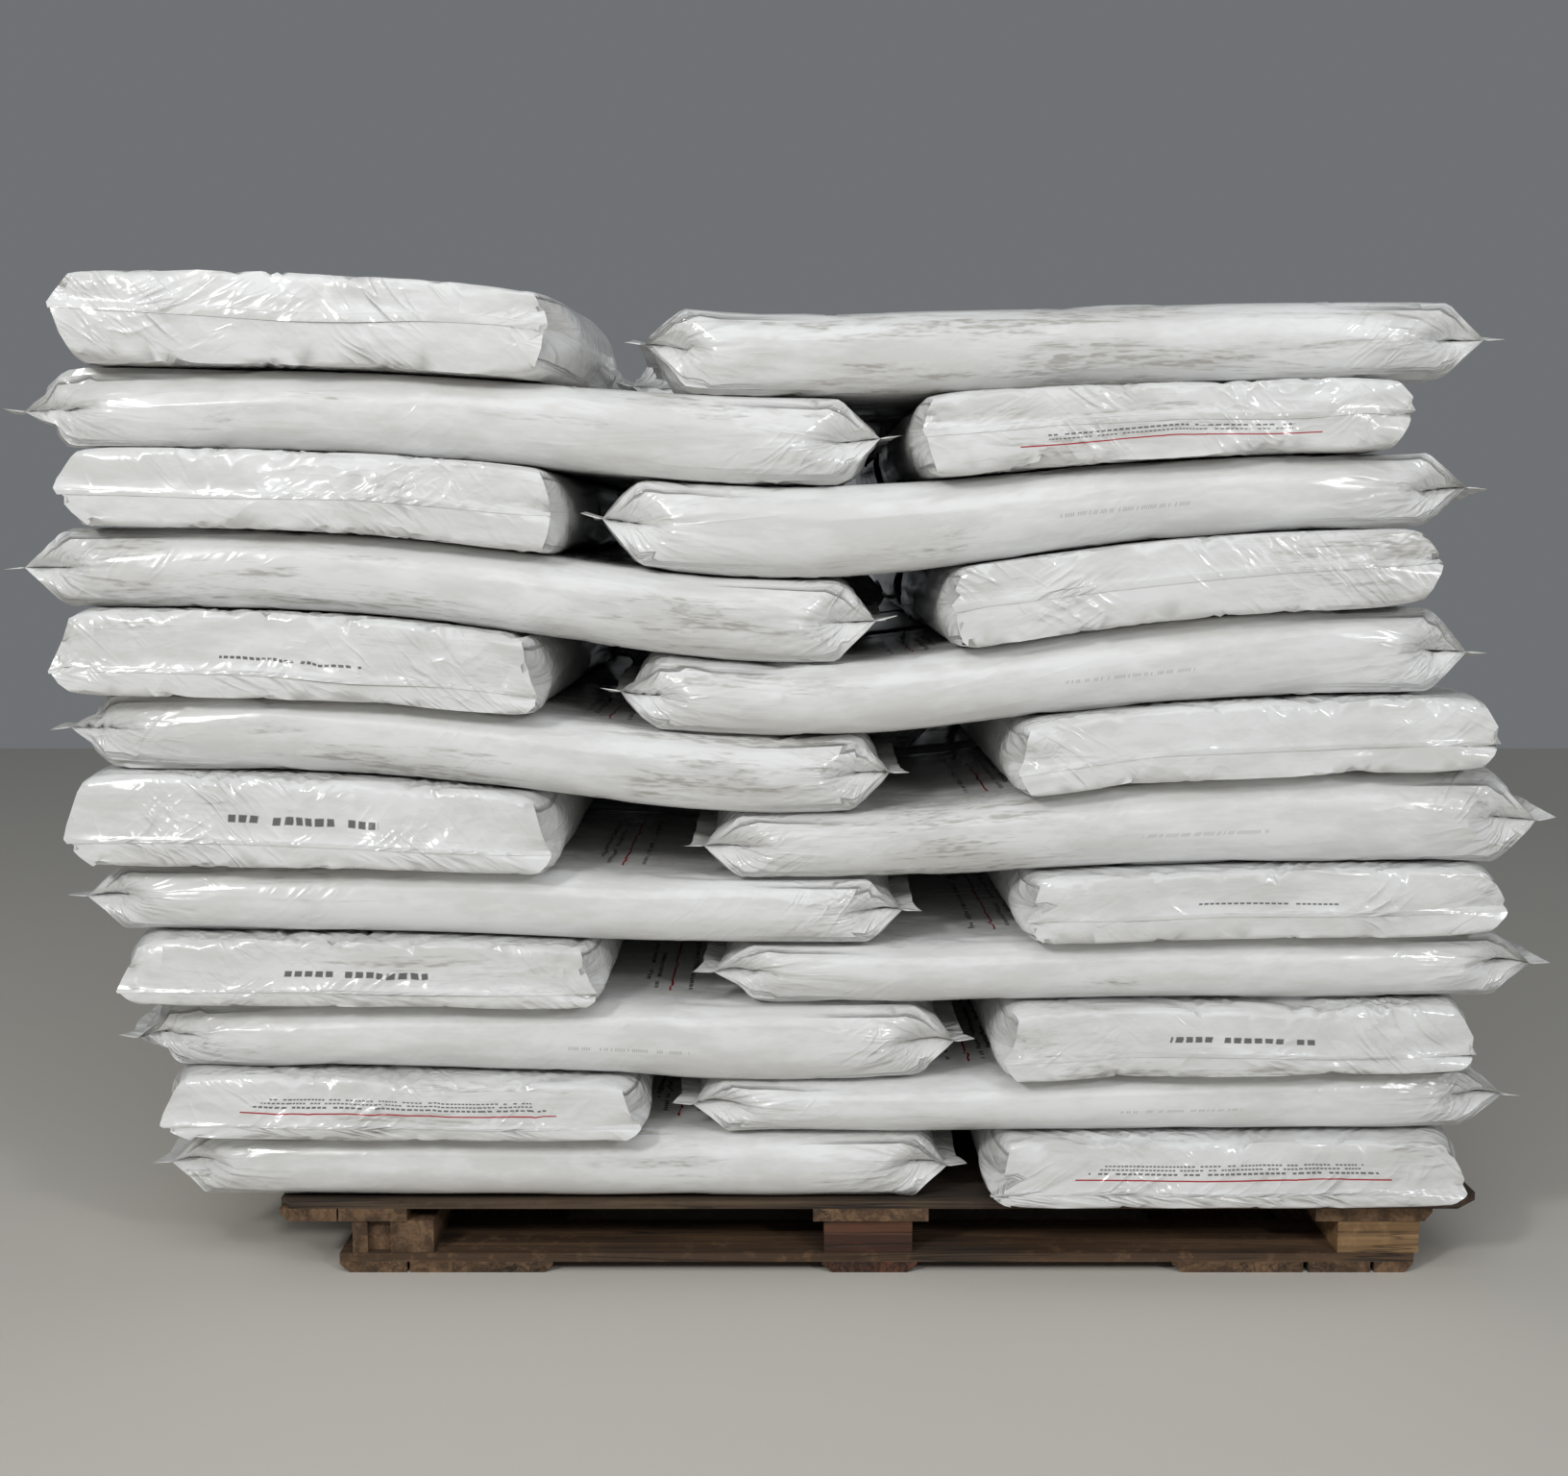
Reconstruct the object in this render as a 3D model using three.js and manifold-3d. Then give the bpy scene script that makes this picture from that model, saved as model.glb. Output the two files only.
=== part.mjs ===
// A loaded pallet: twelve layers of filled film sacks on a thin wooden block pallet.
// Units are millimetres and Z is up. The front of the load faces -Y and the floor is Z = 0.
// Each layer holds three long sacks that lie across the pallet, in one column, and two
// sacks that lie from front to back, in the other column. The columns swap sides from one
// layer to the next, so that the load is interlocked.
import * as THREE from "three";
import { mergeVertices } from "three/addons/utils/BufferGeometryUtils.js";
import Module from "manifold-3d";

const wasm = await Module();
wasm.setup();

// The pallet.
const deckWidth = 1200;
const deckDepth = 1460;
const deckThickness = 8;
const deckCornerCut = 26;
const stringerThickness = 13;
const blockHeight = 33;
const blockDepth = 108;
const crossBoardThickness = 9;
const crossBoardDepth = 96;
const runnerThickness = 11;

const crossBoardBottom = runnerThickness;
const blockBottom = crossBoardBottom + crossBoardThickness;
const stringerBottom = blockBottom + blockHeight;
const deckBottom = stringerBottom + stringerThickness;
const deckTop = deckBottom + deckThickness;

// One filled sack.
const sackLipLength = 20;
const sackWidth = 490;
const lipHalfThickness = 2;

// The stations of a sack's end, outwards from its body. Each gives its distance before the
// weld, the reach across of the side's tuck and of the folded edges above and below it, how
// far up and down the side the tuck's reach is kept, and how much of the layer it fills.
const pointedEnd = [
  { beforeWeld: 80, tuck: sackWidth / 2, tuckHeight: 0.42, edge: 219, fill: 1.04 },
  { beforeWeld: 34, tuck: 218, tuckHeight: 0.2, edge: 226, fill: 0.93 },
  { beforeWeld: 10, tuck: 202, tuckHeight: 0.25, edge: 226, fill: 0.38 },
  { beforeWeld: 0, tuck: 226, tuckHeight: 0.5, edge: 226, fill: 0 },
  { beforeWeld: -sackLipLength, tuck: 222, tuckHeight: 0.5, edge: 222, fill: 0 },
];
const bluntEnd = [
  { beforeWeld: 72, tuck: sackWidth / 2, tuckHeight: 0.42, edge: 219, fill: 1.04 },
  { beforeWeld: 26, tuck: 216, tuckHeight: 0.2, edge: 225, fill: 1.04 },
  { beforeWeld: 0, tuck: 212, tuckHeight: 0.2, edge: 224, fill: 0.92 },
];

// The lip of a blunt end is folded down on the end's face. Its stations give how far their
// middle lies below the weld and how far they reach up and down from there.
const foldedLip = [
  { beforeWeld: -1.5, tuck: 214, tuckHeight: 0.5, edge: 214, belowWeld: 5.5, halfHeight: 6.5 },
  { beforeWeld: -9, tuck: 212, tuckHeight: 0.5, edge: 212, belowWeld: 9.5, halfHeight: 3 },
];

// How the sacks sit in the load, from the bottom layer to the top one.
const layerCount = 12;
const sackGap = 4;
const layerGap = 0.4;
const patchReach = 60;
const longColumnCentre = [-321, 212, -333, 236, -379, 228, -392, 153, -417, 141, -412, 168];
const longSackLength = [819, 846, 848, 843, 844, 850, 836, 856, 858, 866, 853, 832];
const endColumnCentre = [344, -475, 350, -512, 371, -557, 359, -564, 294, -547, 264, -549];
const endSackLength = 752;
const foldedWeldHeight = [
  -0.55, -0.5, -0.35, -0.45, -0.25, -0.38, -0.2, -0.38, 0.15, 0, 0.12, 0.28,
];

// The height of each bearing surface between two layers, measured over the dip at the middle
// of the load, and how much higher the same surface lies towards the load's two sides.
const surfaceHeight = [deckTop, 140, 193, 271, 330, 396, 461, 537, 608, 689, 778, 862, 940];
const surfaceRise = [0, 3, 16, 7, 15, 18, 44, 42, 55, 50, 32, 16, 12];
const leftLift = [0, 0, 0, 0, 0, 0, 0, 0, 0, 0, 4, 12, 24];
const dipCentre = -90;
const dipReach = 300;
const bendStations = [-1000, -560, -370, -220, -90, 40, 190, 390, 800];

// The wooden parts' places across the pallet.
const stringers = [
  { name: "stringer_left_outer", left: -600, right: -543, lowerLeftCut: 8, lowerRightCut: 0 },
  { name: "stringer_left_inner", left: -541, right: -473, lowerLeftCut: 0, lowerRightCut: 0 },
  { name: "stringer_middle", left: -68, right: 47, lowerLeftCut: 0, lowerRightCut: 0 },
  { name: "stringer_right", left: 433, right: 549, lowerLeftCut: 0, lowerRightCut: 8 },
];
const runners = [
  { name: "runner_left_outer", left: -541, right: -474, lowerLeftCut: 10, lowerRightCut: 0 },
  { name: "runner_left_inner", left: -471, right: -328, lowerLeftCut: 0, lowerRightCut: 9 },
  { name: "runner_middle", left: -59, right: 36, lowerLeftCut: 10, lowerRightCut: 10 },
  { name: "runner_right_inner", left: 291, right: 422, lowerLeftCut: 10, lowerRightCut: 0 },
  { name: "runner_right_centre", left: 427, right: 489, lowerLeftCut: 0, lowerRightCut: 0 },
  { name: "runner_right_outer", left: 493, right: 531, lowerLeftCut: 0, lowerRightCut: 8 },
];
const crossBoardLeft = -541;
const crossBoardRight = 532;
const blockSetBack = 2;
const blockNotchDepth = 9;

const film = { color: 0xdfe1e0, roughness: 0.34, metalness: 0 };
const deckBoard = { color: 0x8a6a4a, roughness: 0.78, metalness: 0 };
const brownWood = { color: 0x7c5a3e, roughness: 0.85, metalness: 0 };
const reddishWood = { color: 0x6d4030, roughness: 0.86, metalness: 0 };
const paleWood = { color: 0xb3946c, roughness: 0.82, metalness: 0 };

const blockColumns = [
  { name: "left", left: -528, right: -447, notchWidth: 23, finish: brownWood },
  { name: "middle", left: -57, right: 31, notchWidth: 0, finish: reddishWood },
  { name: "right", left: 456, right: 537, notchWidth: 0, finish: paleWood },
];

const load = new THREE.Group();

function addPiece(name, geometry, finish) {
  const mesh = new THREE.Mesh(geometry, new THREE.MeshStandardMaterial(finish));
  mesh.name = name;
  load.add(mesh);
}

// A closed surface from vertices and triangles, as a solid that can be joined and cut.
function solidFrom(geometry) {
  const bare = geometry.clone();
  bare.deleteAttribute("normal");
  bare.deleteAttribute("uv");
  const merged = mergeVertices(bare, 1e-4);
  return new wasm.Manifold(
    new wasm.Mesh({
      numProp: 3,
      vertProperties: new Float32Array(merged.attributes.position.array),
      triVerts: new Uint32Array(merged.index.array),
    }),
  );
}

function geometryFrom(solid) {
  const mesh = solid.getMesh();
  const geometry = new THREE.BufferGeometry();
  geometry.setAttribute("position", new THREE.BufferAttribute(mesh.vertProperties, 3));
  geometry.setIndex(new THREE.BufferAttribute(mesh.triVerts, 1));
  return geometry;
}

// A board that runs from front to back, from its section in X and Z.
function boardAlongDepth({ left, right, lowerLeftCut, lowerRightCut }, bottom, thickness) {
  const cutHeight = thickness * 0.75;
  const section = new THREE.Shape();
  section.moveTo(left + lowerLeftCut, bottom);
  section.lineTo(right - lowerRightCut, bottom);
  if (lowerRightCut > 0) {
    section.lineTo(right, bottom + cutHeight);
  }
  section.lineTo(right, bottom + thickness);
  section.lineTo(left, bottom + thickness);
  if (lowerLeftCut > 0) {
    section.lineTo(left, bottom + cutHeight);
  }
  section.closePath();
  const board = new THREE.ExtrudeGeometry(section, { depth: deckDepth, bevelEnabled: false });
  board.rotateX(Math.PI / 2);
  board.translate(0, deckDepth / 2, 0);
  return board;
}

// A flat piece from its outline in X and Y.
function slabFrom(outline, bottom, thickness) {
  const shape = new THREE.Shape(outline.map(([x, y]) => new THREE.Vector2(x, y)));
  const slab = new THREE.ExtrudeGeometry(shape, { depth: thickness, bevelEnabled: false });
  slab.translate(0, 0, bottom);
  return slab;
}

// A block's outline in X and Y. The front left block has a notch in its front face.
function blockOutline(column, centre, isFront) {
  const front = centre - blockDepth / 2;
  const back = centre + blockDepth / 2;
  const outline = [[column.left, front]];
  if (isFront && column.notchWidth > 0) {
    const notchLeft = column.left + 15;
    const notchRight = notchLeft + column.notchWidth;
    outline.push([notchLeft, front], [notchLeft, front + blockNotchDepth]);
    outline.push([notchRight, front + blockNotchDepth], [notchRight, front]);
  }
  outline.push([column.right, front], [column.right, back], [column.left, back]);
  return outline;
}

function buildPallet() {
  const halfWidth = deckWidth / 2;
  const halfDepth = deckDepth / 2;
  const deckOutline = [
    [-halfWidth + deckCornerCut * 0.4, -halfDepth],
    [halfWidth - deckCornerCut, -halfDepth],
    [halfWidth, -halfDepth + deckCornerCut],
    [halfWidth, halfDepth],
    [-halfWidth, halfDepth],
    [-halfWidth, -halfDepth + deckCornerCut * 0.4],
  ];
  addPiece("deck_sheet", slabFrom(deckOutline, deckBottom, deckThickness), deckBoard);

  for (const stringer of stringers) {
    const board = boardAlongDepth(stringer, stringerBottom, stringerThickness);
    addPiece(stringer.name, board, brownWood);
  }
  for (const runner of runners) {
    const board = boardAlongDepth(runner, 0, runnerThickness);
    addPiece(runner.name, board, runner.name === "runner_middle" ? reddishWood : brownWood);
  }

  for (const [row, side] of [["front", -1], ["centre", 0], ["back", 1]]) {
    const boardCentre = side * (halfDepth - crossBoardDepth / 2);
    const crossBoard = new THREE.BoxGeometry(
      crossBoardRight - crossBoardLeft,
      crossBoardDepth,
      crossBoardThickness,
    );
    const boardMiddle = crossBoardBottom + crossBoardThickness / 2;
    crossBoard.translate((crossBoardLeft + crossBoardRight) / 2, boardCentre, boardMiddle);
    addPiece(`cross_board_${row}`, crossBoard, brownWood);

    const blockCentre = side * (halfDepth - blockSetBack - blockDepth / 2);
    for (const column of blockColumns) {
      const outline = blockOutline(column, blockCentre, row === "front");
      const block = slabFrom(outline, blockBottom, blockHeight);
      addPiece(`block_${column.name}_${row}`, block, column.finish);
    }
  }
}

// How high the bearing surface of the given number lies at x.
function bearingHeight(surface, x) {
  const rise = 1 - Math.exp(-(((x - dipCentre) / dipReach) ** 2));
  const lift = x < dipCentre ? leftLift[surface] * rise : 0;
  return surfaceHeight[surface] + surfaceRise[surface] * rise + lift;
}

// The space of one layer, between two bearing surfaces that are bent along straight lines.
function layerSpace(layer) {
  const section = new THREE.Shape();
  const lower = bendStations.map((x) => [x, bearingHeight(layer, x) + layerGap / 2]);
  const upper = bendStations.map((x) => [x, bearingHeight(layer + 1, x) - layerGap / 2]);
  const outline = [...lower, ...upper.reverse()];
  section.setFromPoints(outline.map(([x, z]) => new THREE.Vector2(x, z)));
  const space = new THREE.ExtrudeGeometry(section, { depth: 2000, bevelEnabled: false });
  space.rotateX(Math.PI / 2);
  space.translate(0, 1000, 0);
  return solidFrom(space);
}

// The height at x of a point of a station that lies at the given share of its half height.
function pointHeight(layer, x, station, up) {
  const lower = bearingHeight(layer, x);
  const upper = bearingHeight(layer + 1, x);
  const middle = (lower + upper) / 2;
  const half = (upper - lower) / 2;
  if (station.belowWeld === undefined) {
    return middle + up * Math.max(station.fill * half, lipHalfThickness);
  }
  return middle + foldedWeldHeight[layer] * half - station.belowWeld + up * station.halfHeight;
}

// One sack as a closed solid: a ring of eight points at each station of its length.
// It lies along X where turned is false, and along Y where it is true.
// A sack lies between the layer's two bearing surfaces. A long sack tapers to a flat welded
// lip at each end. An end-on sack has blunt ends, and its outer lip is folded on its face.
function sackSolid(layer, centreX, centreY, turned, bodyLength, foldedLipSide) {
  const half = bodyLength / 2;
  const stations = [];
  for (const side of [-1, 1]) {
    const tail = turned ? [...bluntEnd] : [...pointedEnd];
    if (side === foldedLipSide) {
      tail.push(...foldedLip);
    }
    const placed = tail.map((station) => [side * (half - station.beforeWeld), station]);
    stations.push(...(side < 0 ? placed.reverse() : placed));
  }

  const positions = [];
  for (const [along, station] of stations) {
    const { tuck, tuckHeight, edge } = station;
    const ring = [
      [tuck, tuckHeight],
      [edge, 1],
      [-edge, 1],
      [-tuck, tuckHeight],
      [-tuck, -tuckHeight],
      [-edge, -1],
      [edge, -1],
      [tuck, -tuckHeight],
    ];
    for (const [across, up] of ring) {
      const x = centreX + (turned ? across : along);
      const y = centreY + (turned ? along : -across);
      positions.push(x, y, pointHeight(layer, x, station, up));
    }
  }

  const triangles = [];
  const ringSize = 8;
  for (let station = 0; station + 1 < stations.length; station += 1) {
    for (let point = 0; point < ringSize; point += 1) {
      const here = station * ringSize + point;
      const beside = station * ringSize + ((point + 1) % ringSize);
      triangles.push(here, here + ringSize, beside);
      triangles.push(beside, here + ringSize, beside + ringSize);
    }
  }
  const lastRing = (stations.length - 1) * ringSize;
  for (let point = 1; point + 1 < ringSize; point += 1) {
    triangles.push(0, point, point + 1);
    triangles.push(lastRing, lastRing + point + 1, lastRing + point);
  }

  const sack = new THREE.BufferGeometry();
  sack.setAttribute("position", new THREE.Float32BufferAttribute(positions, 3));
  sack.setIndex(triangles);
  return solidFrom(sack);
}

// Where two neighbours in a layer press on each other, out of sight inside the load.
function contactPatch(layer, fromX, toX, fromY, toY) {
  const x = (fromX + toX) / 2;
  const middle = (bearingHeight(layer, x) + bearingHeight(layer + 1, x)) / 2;
  const patch = new THREE.BoxGeometry(toX - fromX, toY - fromY, 14);
  patch.translate(x, (fromY + toY) / 2, middle);
  return solidFrom(patch);
}

// The layer's middle long sack lies against the end-on sacks, so that no gap runs right
// through the load from front to back. The other two keep to the column's own place.
function buildLayer(layer) {
  const longX = longColumnCentre[layer];
  const endX = endColumnCentre[layer];
  const longPitch = sackWidth + sackGap;
  const endCentre = (endSackLength + sackGap) / 2;
  const towardsEnd = Math.sign(endX - longX);
  const longBody = longSackLength[layer] - 2 * sackLipLength;
  const columnGap = Math.abs(endX - longX) - sackWidth / 2 - longSackLength[layer] / 2;
  const middleX = longX + towardsEnd * (columnGap - sackGap);
  const sacks = [
    sackSolid(layer, longX, -longPitch, false, longBody, 0),
    sackSolid(layer, middleX, 0, false, longBody, 0),
    sackSolid(layer, longX, longPitch, false, longBody, 0),
    sackSolid(layer, endX, -endCentre, true, endSackLength, -1),
    sackSolid(layer, endX, endCentre, true, endSackLength, 1),
  ];

  const patches = [contactPatch(layer, endX - patchReach, endX + patchReach, -30, 30)];
  for (const seam of [-longPitch / 2, longPitch / 2]) {
    patches.push(contactPatch(layer, longX - patchReach, longX + patchReach, seam - 20, seam + 20));
  }
  const endSide = endX - towardsEnd * (sackWidth / 2 - 20);
  const longSide = middleX + towardsEnd * (longBody / 2 - 20);
  const fromX = Math.min(longSide, endSide);
  const toX = Math.max(longSide, endSide);
  patches.push(contactPatch(layer, fromX, toX, 80, 80 + patchReach));

  const joined = [...sacks, ...patches].reduce((whole, piece) => whole.add(piece));
  const number = String(layer + 1).padStart(2, "0");
  addPiece(`sack_layer_${number}`, geometryFrom(joined.intersect(layerSpace(layer))), film);
}

buildPallet();
for (let layer = 0; layer < layerCount; layer += 1) {
  buildLayer(layer);
}

export default load;
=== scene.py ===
# %% [markdown]
# # A pallet of filled film sacks
# Sixty glossy white sacks lie on a thin wooden pallet, twelve layers of five. The packed
# solids give the places and the sizes. This script gives every sack its own film shape,
# and gives the film and the wood their finish.

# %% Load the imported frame
import math

import bpy
import numpy as np
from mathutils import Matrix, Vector


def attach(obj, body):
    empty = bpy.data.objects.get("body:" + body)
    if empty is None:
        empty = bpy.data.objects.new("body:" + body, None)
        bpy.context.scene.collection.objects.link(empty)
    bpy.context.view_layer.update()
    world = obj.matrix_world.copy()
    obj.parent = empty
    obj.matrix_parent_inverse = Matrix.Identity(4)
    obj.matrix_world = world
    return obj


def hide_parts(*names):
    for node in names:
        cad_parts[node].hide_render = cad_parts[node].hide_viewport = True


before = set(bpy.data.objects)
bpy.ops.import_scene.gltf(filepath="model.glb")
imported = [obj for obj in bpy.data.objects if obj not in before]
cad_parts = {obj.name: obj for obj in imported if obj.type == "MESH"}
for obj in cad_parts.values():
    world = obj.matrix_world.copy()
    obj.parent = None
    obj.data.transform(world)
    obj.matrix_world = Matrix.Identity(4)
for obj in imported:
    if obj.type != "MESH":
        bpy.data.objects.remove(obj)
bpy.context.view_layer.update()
SCENE = bpy.context.scene

# %% [markdown]
# ## Driving sizes
# These are the sizes of one sack and of the load, in metres. They repeat what the solids
# were built from, so that every film shape lies where its solid lies.

# %% Sizes of the load
LAYERS = 12
SACK_WIDTH = 0.490
SACK_GAP = 0.004
LIP_LENGTH = 0.020
LONG_CENTRES = [-321, 212, -333, 236, -379, 228, -392, 153, -417, 141, -412, 168]
LONG_LENGTHS = [819, 846, 848, 843, 844, 850, 836, 856, 858, 866, 853, 832]
END_CENTRES = [344, -475, 350, -512, 371, -557, 359, -564, 294, -547, 264, -549]
END_LENGTH = 0.752
NOMINAL_LENGTH = 0.848
SURFACE_HEIGHTS = [74, 140, 193, 271, 330, 396, 461, 537, 608, 689, 778, 862, 940]
SURFACE_RISES = [0, 3, 16, 7, 15, 18, 44, 42, 55, 50, 32, 16, 12]
LEFT_LIFTS = [0, 0, 0, 0, 0, 0, 0, 0, 0, 0, 4, 12, 24]
DIP_CENTRE = -0.090
DIP_REACH = 0.300
FILM_GAP = 0.0003
MM = 0.001


def bearing_height(surface, x):
    """How high the surface between two layers lies, at places x across the load."""
    rise = 1 - np.exp(-(((x - DIP_CENTRE) / DIP_REACH) ** 2))
    left = np.where(x < DIP_CENTRE, LEFT_LIFTS[surface], 0)
    return (SURFACE_HEIGHTS[surface] + (SURFACE_RISES[surface] + left) * rise) * MM


print("stack height", round(float(bearing_height(LAYERS, np.array(0.4))), 3))

# %% [markdown]
# ## The film tube before filling
# A sack like this starts as a flat tube of film with a tuck down each side, called a
# gusset. A weld across each end holds all its sheets together, tucks and all. When the
# sack is filled, the tucks open along the sides but stay shut at the welds, and that
# gives the beak at each corner. So the tube is made flat first, with its true cut sizes.

# %% Lay out the flat tube
CUT_LENGTH = 0.815
CUT_WIDTH = 0.470
GUSSET = 0.036
TUCK_SHEET = 0.25
MESH_STEP = 0.0072
ROWS = round(CUT_LENGTH / MESH_STEP)
PANEL = round(CUT_WIDTH / MESH_STEP)
TUCK = round(GUSSET / MESH_STEP)
COLUMN_STEP = CUT_WIDTH / PANEL
RIGHT_FOLD = PANEL
LOWER_RIGHT = PANEL + 2 * TUCK
LOWER_LEFT = 2 * PANEL + 2 * TUCK
RING = 2 * PANEL + 4 * TUCK


def ring_place(column):
    """Where a column of the tube lies when flat: across, which side is up, which panel."""
    if column <= RIGHT_FOLD:
        return -CUT_WIDTH / 2 + column * COLUMN_STEP, 1.0, 1
    if column < LOWER_RIGHT:
        step = column - RIGHT_FOLD
        depth = min(step, 2 * TUCK - step)
        return CUT_WIDTH / 2 - depth * COLUMN_STEP, math.copysign(TUCK_SHEET, TUCK - step), 0
    if column <= LOWER_LEFT:
        return CUT_WIDTH / 2 - (column - LOWER_RIGHT) * COLUMN_STEP, -1.0, -1
    step = column - LOWER_LEFT
    depth = min(step, 2 * TUCK - step)
    return -CUT_WIDTH / 2 + depth * COLUMN_STEP, math.copysign(TUCK_SHEET, step - TUCK), 0


FLAT_RING = [ring_place(column) for column in range(RING)]
print("tube of", ROWS, "rows and", RING, "columns")

# %% [markdown]
# ## Open the tucks
# The cloth solver takes the lengths of its springs from the flat tube, and its start from
# a second shape key with the tucks already open. Without that key the pressure would press
# the tucks shut. Soft bumps on the panels set off the creases.
#
# The load needs two kinds of filled sack. Where a sack's end is free, it keeps a slope
# like a roof on each side of the weld. Where it was set down hard against its neighbour,
# its end is blunt, and the weld lies folded on the face.

# %% How far a filled end opens
TAPER = 0.075
OPEN_HEIGHT = 0.034
WELD_HEIGHT = 0.001
BLUNT_HALF = 0.373
POINTED_HALF = 0.3935
BLUNT_TUCK_SLOPE = 0.93
POINTED_TUCK_SLOPE = 0.95
SLOPE_UP = 0.70
SLOPE_IN = 0.714


def opened_row(from_weld, blunt):
    """The height of a row's panels, and how far along its panels and tucks lie."""
    height = min(OPEN_HEIGHT, WELD_HEIGHT + from_weld * (1 if blunt else SLOPE_UP))
    if blunt:
        panels_along = BLUNT_HALF - max(0.0, from_weld - OPEN_HEIGHT)
        return height, panels_along, BLUNT_HALF - from_weld * BLUNT_TUCK_SLOPE
    sloped = OPEN_HEIGHT / SLOPE_UP
    panels_along = POINTED_HALF - min(from_weld, sloped) * SLOPE_IN - max(0.0, from_weld - sloped)
    return height, panels_along, POINTED_HALF - from_weld * POINTED_TUCK_SLOPE


print("a pointed end slopes by", round(math.degrees(math.atan2(SLOPE_UP, SLOPE_IN))), "degrees")

# %% Build the flat and the opened shape
FOLDS = (0, RIGHT_FOLD, LOWER_RIGHT, LOWER_LEFT)
FLAT_GAP = 0.004
TUCK_INSET = 0.004
TUCK_BOW = 0.010
PANEL_NARROWING = 0.015
PANEL_EDGE = 0.012
BUMP_REACH = 0.07
DENT_DEPTH = 0.004
DENT_REACH = 0.05


def smoothed(share):
    """A share between 0 and 1 that starts and ends softly."""
    return share * share * (3 - 2 * share)


def soft_noise(points, scale, seed, waves=7):
    """A smooth random field made of a few sine waves, between about -1 and 1."""
    random = np.random.default_rng(seed)
    directions = random.normal(size=(waves, points.shape[1])) * scale
    phases = random.uniform(0, 2 * math.pi, waves)
    return np.sin(points @ directions.T + phases).sum(axis=1) / math.sqrt(waves * 1.6)


def opened_place(column, height, panels_along, tucks_along, ease):
    """How far along, across and up one column of an opened row lies."""
    across, up, panel = FLAT_RING[column]
    if panel != 0 and column not in FOLDS:
        return panels_along, across * (1 - PANEL_NARROWING * ease), math.copysign(height, up)
    right = RIGHT_FOLD <= column <= LOWER_RIGHT
    down = (column - RIGHT_FOLD) / TUCK if right else (RING - column) % RING / TUCK
    bowed = TUCK_BOW * math.sin(math.pi * down / 2)
    out = (1 if right else -1) * (CUT_WIDTH / 2 - TUCK_INSET + bowed)
    reach = panels_along + (tucks_along - panels_along) * (1 - abs(1 - down))
    return reach, across + (out - across) * ease, height * (1 - down)


def add_bumps(flat, opened, blunt, seed, crumple):
    """Soft bumps on the panels and dents in a blunt face, where the film will crease."""
    from_end = CUT_LENGTH / 2 - np.abs(flat[:, 0])
    panels = np.abs(opened[:, 1]) < CUT_WIDTH / 2 - PANEL_EDGE
    bumps = soft_noise(opened * [1, 1, 4], [9, 13, 9], seed) * crumple
    opened[:, 2] += np.where(panels, bumps * np.clip(from_end / BUMP_REACH, 0, 1), 0.0)
    if blunt:
        dents = np.abs(soft_noise(opened[:, 1:], [30, 60], seed + 5)) * DENT_DEPTH
        opened[:, 0] -= np.sign(opened[:, 0]) * dents * np.clip(1 - from_end / DENT_REACH, 0, 1)


def tube_shapes(blunt, seed, crumple):
    """The flat and the opened places of every vertex, and the index of each grid corner."""
    flat, opened, weld = [], [], {}
    grid = np.zeros((ROWS + 1, RING), dtype=int)
    for row in range(ROWS + 1):
        along = -CUT_LENGTH / 2 + CUT_LENGTH * row / ROWS
        end = -1 if along < 0 else 1
        from_weld = min(row, ROWS - row) / ROWS * CUT_LENGTH
        ease = smoothed(min(1.0, from_weld / TAPER))
        height, panels_along, tucks_along = opened_row(from_weld, blunt)
        for column, (across, up, _) in enumerate(FLAT_RING):
            if row in (0, ROWS):
                key = (row, round((across + CUT_WIDTH / 2) / COLUMN_STEP))
                if key not in weld:
                    weld[key] = len(flat)
                    flat.append((along, across, 0.0))
                    opened.append((end * panels_along, across, 0.0))
                grid[row, column] = weld[key]
                continue
            grid[row, column] = len(flat)
            flat.append((along, across, up * FLAT_GAP))
            reach, aside, level = opened_place(column, height, panels_along, tucks_along, ease)
            opened.append((end * reach, aside, level))
    flat, opened = np.array(flat), np.array(opened)
    add_bumps(flat, opened, blunt, seed, crumple)
    return flat, opened, grid


def tube_mesh(name, flat, opened, grid):
    """A mesh object of the tube, with the flat and the opened shape as its shape keys."""
    faces = []
    for row in range(ROWS):
        for column in range(RING):
            beside = (column + 1) % RING
            corners = [grid[row, column], grid[row + 1, column]]
            corners += [grid[row + 1, beside], grid[row, beside]]
            face = list(dict.fromkeys(int(corner) for corner in corners))
            if len(face) > 2:
                faces.append(face)
    mesh = bpy.data.meshes.new(name)
    mesh.from_pydata(flat.tolist(), [], faces)
    tube = bpy.data.objects.new(name, mesh)
    SCENE.collection.objects.link(tube)
    tube.shape_key_add(name="flat")
    key = tube.shape_key_add(name="opened")
    key.data.foreach_set("co", opened.astype(np.float32).ravel())
    key.value = 1.0
    return tube


print("grid corners of a tube", (ROWS + 1) * RING)

# %% [markdown]
# ## Fill the sack
# Air pressure stands for the goods, and two plates stand for the sacks below and above.
# A sack could also be modelled by hand as a pillow with drawn folds. Cloth is the better
# tool here, because film hardly stretches: it has to fold where a form has too much of it,
# and hand-made folds never look as convincing. A blunt sack also has a plate at each end.

# %% Plates round the tube
PLATE_HEIGHT = 0.040
PLATE_SKIN = 0.003
END_PLATE_GAP = 0.004


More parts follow.
